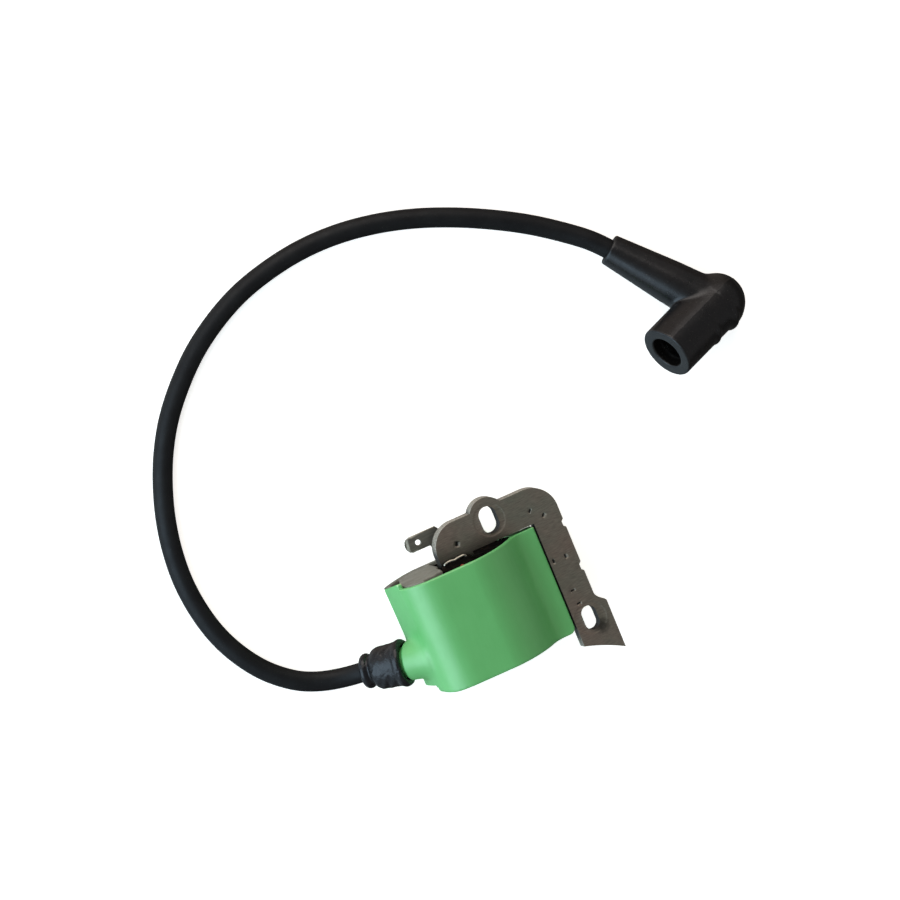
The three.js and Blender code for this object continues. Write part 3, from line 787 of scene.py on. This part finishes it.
def plug_spring():
    """Spring that grips the spark plug's tip, with a tail that reaches back to the lead's wire."""
    side = unit(*np.cross(BARREL_IN, (0, 0, 1)))
    other = np.cross(BARREL_IN, side)
    turns, per_turn, start, rise, radius = 4, 24, 15.8, 6.3, 3.9
    points = []
    for i in range(turns * per_turn + 1):
        angle = 2 * math.pi * i / per_turn
        along = start + rise * i / (turns * per_turn)
        points.append(MOUTH + along * BARREL_IN + radius * (math.cos(angle) * side + math.sin(angle) * other))
    points += [MOUTH + 24.6 * BARREL_IN, ELBOW - 3 * SLEEVE_IN, ELBOW - 7 * SLEEVE_IN]
    spring = wire("plug_tip_spring", np.array(points) + DATUM, 0.45, 1.0)
    return place(spring, TIN, "tinned_metal", "plug_spring")


relief_piece = strain_relief()
boot_piece = plug_boot()
spring_piece = plug_spring()
lead = wire("high_tension_lead", LEAD_ROUTE, LEAD["radius"], 1.6, 12)
place(lead, JACKET, "lead_rubber", "lead_jacket")
conductor = wire("lead_conductor", LEAD_ROUTE, LEAD["wire"], 3.2, 3)
place(conductor, COPPER, "copper", "lead_wire")


# ---- housing ------------------------------------------------------------------------------------
CORNER_STEP = {"width": 3.9, "height": 3.5, "top": 24.5, "chamfer": 0.43}
CORE = {"back": 14.0, "stack": 6.0, "sheets": 10, "sheet": 0.56}
LEG = {"left": 19.1, "right": 31.3, "end": -41.0}
LIP = {"rise": 1.9, "low": 12.5, "high": 27.5}


def body_loop():
    """Section of the winding body: flat back, rounded left corners, a shoulder falling to the right."""
    depth, right = HOUSING["depth"], HOUSING["right"]
    points = [(13.5, 0), (26, 0)]
    for b, c, d in (
        ((37.5, 0.4), (right - 0.7, 10.5), (right, 17)),
        ((right - 0.7, 22.6), (37.5, depth - 0.6), (26, depth)),
        (None, None, (13.5, depth)),
        ((6.5, depth), (2.1, 33.5), (1.4, 27.5)),
        ((0.7, 23), (-0.5, 17.5), (-0.5, 13)),
        ((0.3, 9.5), (8.5, 0.6), (13.5, 0)),
    ):
        points += [d] if b is None else bezier(points[-1], b, c, d, 40)
    return tidy_loop(points)


BODY = Section(body_loop())
LEAN = {"out": 0.75, "low": -26.0, "reach": 16.0}


def body_field(p):
    """The winding body's section; its left wall leans out a little towards the open top."""
    x, y, z = p.T
    rise = np.clip(1 - y / LEAN["low"], 0, 1)
    return BODY(x + LEAN["out"] * rise * np.clip(1 - x / LEAN["reach"], 0, 1), z)


def outer_section(p):
    """The winding body's section joined to the tongue beside the core's right leg by wide fillets."""
    x, _, z = p.T
    tongue = meet(span(x, FLANGE["left"], FLANGE["right"]), span(z, FLANGE["low"], FLANGE["high"]), 0.6)
    return union(body_field(p), tongue, FLANGE["blend"])


def housing_field(p):
    x, y, z = p.T
    height, wall, floor = HOUSING["height"], HOUSING["wall"], HOUSING["floor"]
    width, rise, top = CORNER_STEP["width"], CORNER_STEP["height"], CORNER_STEP["top"]
    shell = meet(outer_section(p), span(y, -height, 0), 0.4)
    shell = np.maximum(shell, meet(x - FLANGE["right"], -height - y, FLANGE["corner"]))
    body = body_field(p)
    lip_top = LIP["rise"] * (z - LIP["low"]) / (LIP["high"] - LIP["low"])
    lip = meet(np.maximum(span(body, -wall, 0), x - 8), span(z, LIP["low"], LIP["high"]), 0.4)
    shell = union(shell, meet(lip, span(y, -2, 0) + np.minimum(0, -lip_top), 0.5))
    notch = np.maximum(np.maximum(x - width, y + height - rise), z - top)
    shell = meet(shell, (width - x) * CORNER_STEP["chamfer"] - height - y, 1.0)
    shell = cut(shell, notch, 0.5)
    along, off = axis_of(p, NECK["base"], NECK["direction"])
    neck = meet(off - NECK["radius"], span(along, -3, NECK["shoulder"]), 0.9)
    shell = union(shell, neck, NECK["blend"])
    cavity = meet(body + wall, -height + floor - y, 0.8)
    inner = np.maximum(np.maximum(x - width - wall, y + height - rise - floor), z - top - wall)
    shell = cut(shell, cut(cavity, inner, 0.8), 0.6)
    root = meet(off - NECK["radius"], span(along, -3, 0), 0.5)
    shell = union(shell, np.maximum(root, body + 0.5), 0.5)
    slot = box_field(
        p,
        (LEG["left"] - 0.3, -height - 5, CORE["back"] - 0.3),
        (LEG["right"] + 0.3, -height + 5, CORE["back"] + CORE["stack"] + 0.3),
        0.3,
    )
    shell = cut(shell, slot, 0.6)
    spigot = meet(off - NECK["spigot"], span(along, 0, NECK["end"]), 0.5)
    shell = union(shell, spigot)
    bore = meet(off - LEAD["clear"], span(along, -0.6, NECK["end"] + 5), 0.3)
    return cut(cut(shell, bore, 0.5), meet(off - 1.2, span(along, -6, 1), 0.2), 0.3)


def housing():
    low = (-13.5, -HOUSING["height"] - 1, -1)
    high = (FLANGE["right"] + 1, 3, HOUSING["depth"] + 1)
    return place(skin("moulded_housing", housing_field, low, high, 0.42), GREEN, "housing_green", "housing")


# ---- core ---------------------------------------------------------------------------------------
YOKE = {"bottom": 0.8, "top": 13.1, "corner": 9.4, "right": 64.9}
EAR = {"x": 40.9, "y": 9.8, "r": 6.6}
ARM = {"inner": 54.7, "flare_top": -29.5, "flare_end": -33.7, "outer": 68.2}
POLE = {"inner": -45.4, "outer": -51.2, "flywheel": 60.0}
SLOTS = ((40.8, 8.4, 3.1, 9.6), (60.6, -37.0, 2.65, 8.6))
SEAT = {"radius": 5.6, "depth": 0.08}
# Interlock stakes pressed through the sheets: middle, direction, half length.
STAKES = (
    ((57.05, 3.85), (0.77, -0.64), 2.3),
    ((58.4, -13.9), (1.0, 0.0), 2.1),
    ((58.55, -28.4), (0.06, -1.0), 2.3),
    ((27.1, 5.2), (0.9, -0.43), 0.0),
)


def edge_notch(low, high):
    """A shallow notch in the right arm's outer edge."""
    x, depth = YOKE["right"], 0.8
    return [
        (x, low), (x - 0.25, low + 0.35), (x - depth, low + 0.8), (x - depth, high - 0.7),
        (x - 0.3, high - 0.25), (x, high + 0.1),
    ]


def sheet_loops():
    inner = np.array((ARM["inner"], POLE["inner"]))
    outer = np.array((ARM["outer"], POLE["outer"]))
    chord = outer - inner
    away = unit(chord[1], -chord[0])
    middle = (inner + outer) / 2 + away * math.sqrt(POLE["flywheel"] ** 2 - (chord @ chord) / 4)
    tips = [math.atan2(*(tip - middle)[::-1]) for tip in (inner, outer)]
    drop = YOKE["top"] - EAR["y"]
    ear_half, ear_angle = math.sqrt(EAR["r"] ** 2 - drop ** 2), math.asin(drop / EAR["r"])
    top, corner, right = YOKE["top"], YOKE["corner"], YOKE["right"]
    outline = [
        (LEG["left"], LEG["end"]), (LEG["right"], LEG["end"]), (LEG["right"], YOKE["bottom"]),
        (ARM["inner"], YOKE["bottom"]),
    ]
    outline += arc(*middle, POLE["flywheel"], tips[0], tips[1], 0.6)
    outline += [(ARM["outer"], ARM["flare_end"])]
    outline += bezier(
        outline[-1],
        (ARM["outer"] - 0.2, ARM["flare_end"] + 1.2),
        (right + 0.4, ARM["flare_top"] - 2.4),
        (right, ARM["flare_top"]),
    )
    outline += edge_notch(-21.1, -17.7) + edge_notch(-4.7, -1.6)
    outline += arc(right - corner, top - corner, corner, 0, math.pi / 2)
    outline += [(EAR["x"] + ear_half, top)]
    outline += arc(EAR["x"], EAR["y"], EAR["r"], ear_angle, math.pi - ear_angle)
    outline += arc(LEG["left"] + corner, top - corner, corner, math.pi / 2, math.pi)
    holes = []
    for x, y, r, length in SLOTS:
        half = length / 2 - r
        loop = arc(x, y + half, r, 0, math.pi, 0.3) + arc(x, y - half, r, math.pi, 2 * math.pi, 0.3)
        holes.append(tidy_loop(loop, clockwise=True))
    return [tidy_loop(outline)] + holes


def stake_frame(points, stake):
    """Distances of points along and across a stake."""
    (x, y), (dx, dy), _ = stake
    offset = points - (x, y)
    return offset @ (dx, dy), offset @ (-dy, dx)


def pressed_face(points):
    """Heights pressed into the outer face: a stake's two dents, and the washer seats."""
    height = np.zeros(len(points))
    for stake in STAKES:
        along, across = stake_frame(points, stake)
        past = np.abs(along) - stake[2]
        dent = np.clip(1 - past / 1.2, 0, 1) * np.clip(1 + past / 0.2, 0, 1)
        height -= 0.5 * dent * np.exp(-(across / 0.85) ** 6)
    for x, y, _, _ in SLOTS:
        away = np.hypot(*(points - (x, y)).T)
        height -= SEAT["depth"] * np.clip((SEAT["radius"] + 0.12 - away) / 0.24, 0, 1)
        height += 0.03 * ridge(away, SEAT["radius"] + 0.35, 0.2)
    return height


def pressed_dots():
    """Points close together on the stakes and on the seats' rims."""
    dots = []
    for (x, y), (dx, dy), half in STAKES:
        for s in np.arange(-half - 1.5, half + 1.51, 0.2):
            for t in np.arange(-1.2, 1.21, 0.2):
                dots.append((x + s * dx - t * dy, y + s * dy + t * dx))
    for x, y, _, _ in SLOTS:
        for radius in SEAT["radius"] + np.array((-0.4, -0.12, 0.12, 0.35, 0.7)):
            dots += arc(x, y, radius, 0.01, 2 * math.pi - 0.05, 0.4)
    return dots


def core():
    loops = sheet_loops()
    dots = pressed_dots()
    pitch = (CORE["stack"] - CORE["sheet"]) / (CORE["sheets"] - 1)
    for i in range(CORE["sheets"]):
        low = CORE["back"] + i * pitch
        front = i == CORE["sheets"] - 1
        obj = plate(
            f"core_sheet_{i + 1:02d}", loops, low, low + CORE["sheet"], 0.06,
            pressed_face if front else None, dots if front else (),
        )
        place(obj, STEEL, "lamination_steel", f"core_lamination_{i + 1:02d}")


# ---- what shows in the housing's open top -------------------------------------------------------
POTTING = {"top": -1.8, "bottom": -4.2}
COVER = {"right": 23.6, "plug": 0.3, "top": 0.5, "rim": 0.02, "lap": 1.75, "lap_front": 13.0}
# The grey cover's outline from above, as X and Z: it stops short of the left wall, reaches the front
# wall, and steps back beside the core's leg.
COVER_OUTLINE = (
    (6.0, -2), (5.6, 9), (3.9, 16), (3.0, 24.5), (3.2, 30), (4.6, 36), (8.8, 38), (9.1, 31.6), (13.2, 31.0),
    (17.0, 29.0), (17.5, 24), (17.6, 17), (18.6, 16.2), (18.6, -2),
)
TERMINAL = {"low": 9.8, "high": 10.6, "left": 20.4, "right": 25.2}


def potting_field(p):
    """Dark casting resin: it creeps up the walls and the leg, and its surface is a little uneven."""
    x, y, z = p.T
    inside = body_field(p) + HOUSING["wall"] + 0.02
    leg = np.maximum(span(x, LEG["left"], LEG["right"]), span(z, CORE["back"], CORE["back"] + CORE["stack"]))
    creep = 0.7 + 1.2 * np.clip((28 - z) / 4, 0, 1)
    pad = np.maximum(np.abs(x - 24.2) - 4.6, 0) ** 2 + np.maximum(z - 21.8, 0) ** 2
    at_wall = creep * np.exp(np.minimum(inside, 0) / 0.7)
    at_leg = 0.4 * np.exp(-np.maximum(leg, 0) / 0.6)
    top = POTTING["top"] + at_wall + at_leg
    top = top + 2.1 * np.exp(-pad / 1.6) * np.clip(z - 18, 0, 1)
    top = top + 0.09 * np.sin(1.1 * x + 0.4) * np.sin(0.9 * z) + 0.06 * np.sin(2.3 * x - 1.7 * z)
    body = meet(inside, np.maximum(y - top, POTTING["bottom"] - y), 0.15)
    return cut(body, leg + 0.1)


def potting():
    low = (-1, POTTING["bottom"] - 0.6, 0)
    high = (HOUSING["right"] + 1, 1.6, HOUSING["depth"] + 1)
    return place(skin("potting_surface", potting_field, low, high, 0.4), RESIN, "potting", "potting_cap")


COVER_PLAN = Section(tidy_loop(COVER_OUTLINE), 4)


def cover_field(p):
    """Grey cover: a plug in the opening, a thin edge that laps over the back rim, a skirt below it."""
    x, y, z = p.T
    body = body_field(p)
    plan = COVER_PLAN(x, z)
    plug = meet(body + HOUSING["wall"] + 0.1, plan, 0.3)
    plug = meet(plug, span(y, POTTING["top"] - 0.2, COVER["plug"]), 0.3)
    lap = np.maximum(span(body, -COVER["lap"], -0.05), x - COVER["right"])
    lap = meet(np.maximum(lap, z - COVER["lap_front"]), span(y, COVER["rim"], COVER["top"]), 0.15)
    skirt = np.maximum(span(body, -2.2, -1.0), x - COVER["right"])
    skirt = meet(np.maximum(skirt, z - COVER["lap_front"] - 3), span(y, -1.0, COVER["top"]), 0.15)
    return union(union(plug, lap, 0.3), skirt, 0.2)


def top_cover():
    low = (-2.2, POTTING["top"] - 0.8, -0.5)
    high = (COVER["right"] + 0.8, 1.2, HOUSING["depth"])
    return place(skin("grey_top_cover", cover_field, low, high, 0.3), GREY, "cover_grey", "top_cover")


def stop_terminal():
    """Push-on blade behind the yoke's left end, on a stem that comes up out of the potting."""
    left, right = TERMINAL["left"], TERMINAL["right"]
    outline = [
        (left, -4), (right, -4), (right, 11.2), (24.0, 12.9), (14.3, 12.9), (12.9, 12.5), (12.1, 11.7),
        (11.7, 10.3), (11.85, 9.0), (12.6, 7.8), (13.6, 7.3),
        (left - 0.6, 7.3), (left - 0.15, 7.1), (left, 6.6),
    ]
    hole = tidy_loop(arc(16.5, 10.0, 0.95, 0, 2 * math.pi, 0.15), clockwise=True)

    def hammered(points):
        away = np.hypot(*(points - (16.5, 10.0)).T)
        tip = (points - (13.3, 10.0)) @ unit(-1.0, 0.12)
        return 0.05 * ridge(away, 1.15, 0.15) - 0.25 * np.clip(tip, 0, 1.2)

    dots = [p for r in (1.15, 1.35, 1.7) for p in arc(16.5, 10.0, r, 0.01, 6.2, 0.25)]
    dots += [(x, y) for x in np.arange(12.1, 14.2, 0.3) for y in np.arange(7.9, 12.7, 0.3)]
    low, high = TERMINAL["low"], TERMINAL["high"]
    obj = plate("stop_wire_blade", [tidy_loop(outline), hole], low, high, 0.12, hammered, dots)
    return place(obj, BLADE, "tinned_metal", "stop_terminal")


def small_wires():
    ground = np.array((
        (20.3, -3.0, 21.1), (20.1, -0.6, 21.1), (20.2, 0.5, 21.1), (21.0, 0.85, 21.2), (22.6, 0.95, 21.2),
        (24.0, 0.7, 21.2), (24.6, 0.8, 21.2), (26.4, 1.0, 21.1), (27.6, 0.95, 21.1), (28.1, 0.5, 21.0),
        (28.2, -0.6, 21.0), (28.1, -3.0, 21.0),
    ))
    place(wire("bare_ground_wire", ground + DATUM, 0.48, 0.3), TIN, "tinned_metal", "ground_wire")
    winding = np.array(((24.4, -4.4, 25.6), (24.4, -2.0, 25.6), (24.6, -1.4, 26.0), (25.2, -1.5, 27.2)))
    place(wire("winding_wire_end", winding + DATUM, 0.45, 0.2), ENAMEL, "copper", "winding_wire")


housing()
core()
potting()
top_cover()
stop_terminal()
small_wires()

# ---- finishes of the pieces that keep their CAD shape -------------------------------------------
KEPT = {
    "primary_bobbin": NYLON,
    "primary_winding": COPPER,
    "secondary_bobbin": NYLON,
    "circuit_board": BOARD,
    "storage_capacitor": BROWN,
    "switching_transistor": BLACK,
    "control_chip": BLACK,
    "suppressor_diode": BLACK,
    "terminal_spike": BRASS,
}
KEPT.update({f"secondary_winding_{i}": COPPER for i in range(1, 5)})
KEPT.update({f"resistor_{i}": BROWN for i in range(1, 4)})
for node_name, node_finish in KEPT.items():
    node_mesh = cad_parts[node_name].data
    node_mesh.materials.clear()
    node_mesh.materials.append(node_finish.material)


# ---- floor and light ----------------------------------------------------------------------------
def add_floor():
    work = bmesh.new()
    bmesh.ops.create_grid(work, x_segments=2, y_segments=2, size=3.0)
    mesh = bpy.data.meshes.new("floor")
    work.to_mesh(mesh)
    work.free()
    floor = bpy.data.objects.new("floor", mesh)
    floor.location.z = -0.0001
    bpy.context.scene.collection.objects.link(floor)
    paper = Finish("pale_floor")
    paper.colour(paper.ramp(paper.noise(3, 2), (0.3, linear(250, 250, 249)), (0.7, linear(252, 252, 251))))
    paper.shader.inputs["Roughness"].default_value = 0.9
    paper.shader.inputs["Emission Color"].default_value = (1, 1, 1, 1)
    paper.shader.inputs["Emission Strength"].default_value = 0.6
    mesh.materials.append(paper.material)
    floor.visible_glossy = False


def add_light(name, right, up, back, size, power, colour, target=(0.0, 0.02, 0.02)):
    """A square soft light, placed by metres to the picture's right, up and towards the camera."""
    data = bpy.data.lights.new(name, "AREA")
    data.size = size
    data.energy = power
    data.color = colour
    light = bpy.data.objects.new(name, data)
    light.location = Vector(target) + PICTURE_RIGHT * right + PICTURE_UP * up + PICTURE_BACK * back
    light.rotation_mode = "QUATERNION"
    light.rotation_quaternion = (light.location - Vector(target)).to_track_quat("Z", "Y")
    bpy.context.scene.collection.objects.link(light)


def add_studio():
    """A dim warm room, a cool glow and a window on the picture's left, a warm glow and a lamp above."""
    world = bpy.data.worlds.new("studio")
    world.use_nodes = True
    nodes, links = world.node_tree.nodes, world.node_tree.links
    direction = nodes.new("ShaderNodeTexCoord").outputs["Generated"]
    total = None
    for axis, colour, ends in (
        ((0, 0, 1), (1.0, 0.96, 0.92, 1), (-0.05, 0.05, 0.06, 0.32)),
        (PICTURE_RIGHT * -0.92 - PICTURE_UP * 0.3, (0.72, 0.9, 1.0, 1), (0.15, 0.85, 0.0, 0.75)),
        (PICTURE_RIGHT * -0.5 + PICTURE_UP * 0.85, (1.0, 0.8, 0.66, 1), (0.35, 0.95, 0.0, 0.5)),
    ):
        share = nodes.new("ShaderNodeVectorMath")
        share.operation = "DOT_PRODUCT"
        links.new(direction, share.inputs[0])
        share.inputs[1].default_value = axis
        strength = nodes.new("ShaderNodeMapRange")
        for name, value in zip(("From Min", "From Max", "To Min", "To Max"), ends):
            strength.inputs[name].default_value = value
        links.new(share.outputs["Value"], strength.inputs["Value"])
        background = nodes.new("ShaderNodeBackground")
        background.inputs["Color"].default_value = colour
        links.new(strength.outputs["Result"], background.inputs["Strength"])
        if total is None:
            total = background.outputs["Background"]
            continue
        both = nodes.new("ShaderNodeAddShader")
        links.new(total, both.inputs[0])
        links.new(background.outputs["Background"], both.inputs[1])
        total = both.outputs["Shader"]
    links.new(total, nodes["World Output"].inputs["Surface"])
    bpy.context.scene.world = world
    add_light("window", -0.78, -0.32, 0.72, 1.25, 13.0, (0.7, 0.9, 1.0))
    add_light("ceiling", -0.15, 0.9, 0.66, 0.9, 6.5, (1.0, 0.88, 0.76))
    bpy.context.scene.view_settings.view_transform = "Standard"


add_floor()
add_studio()
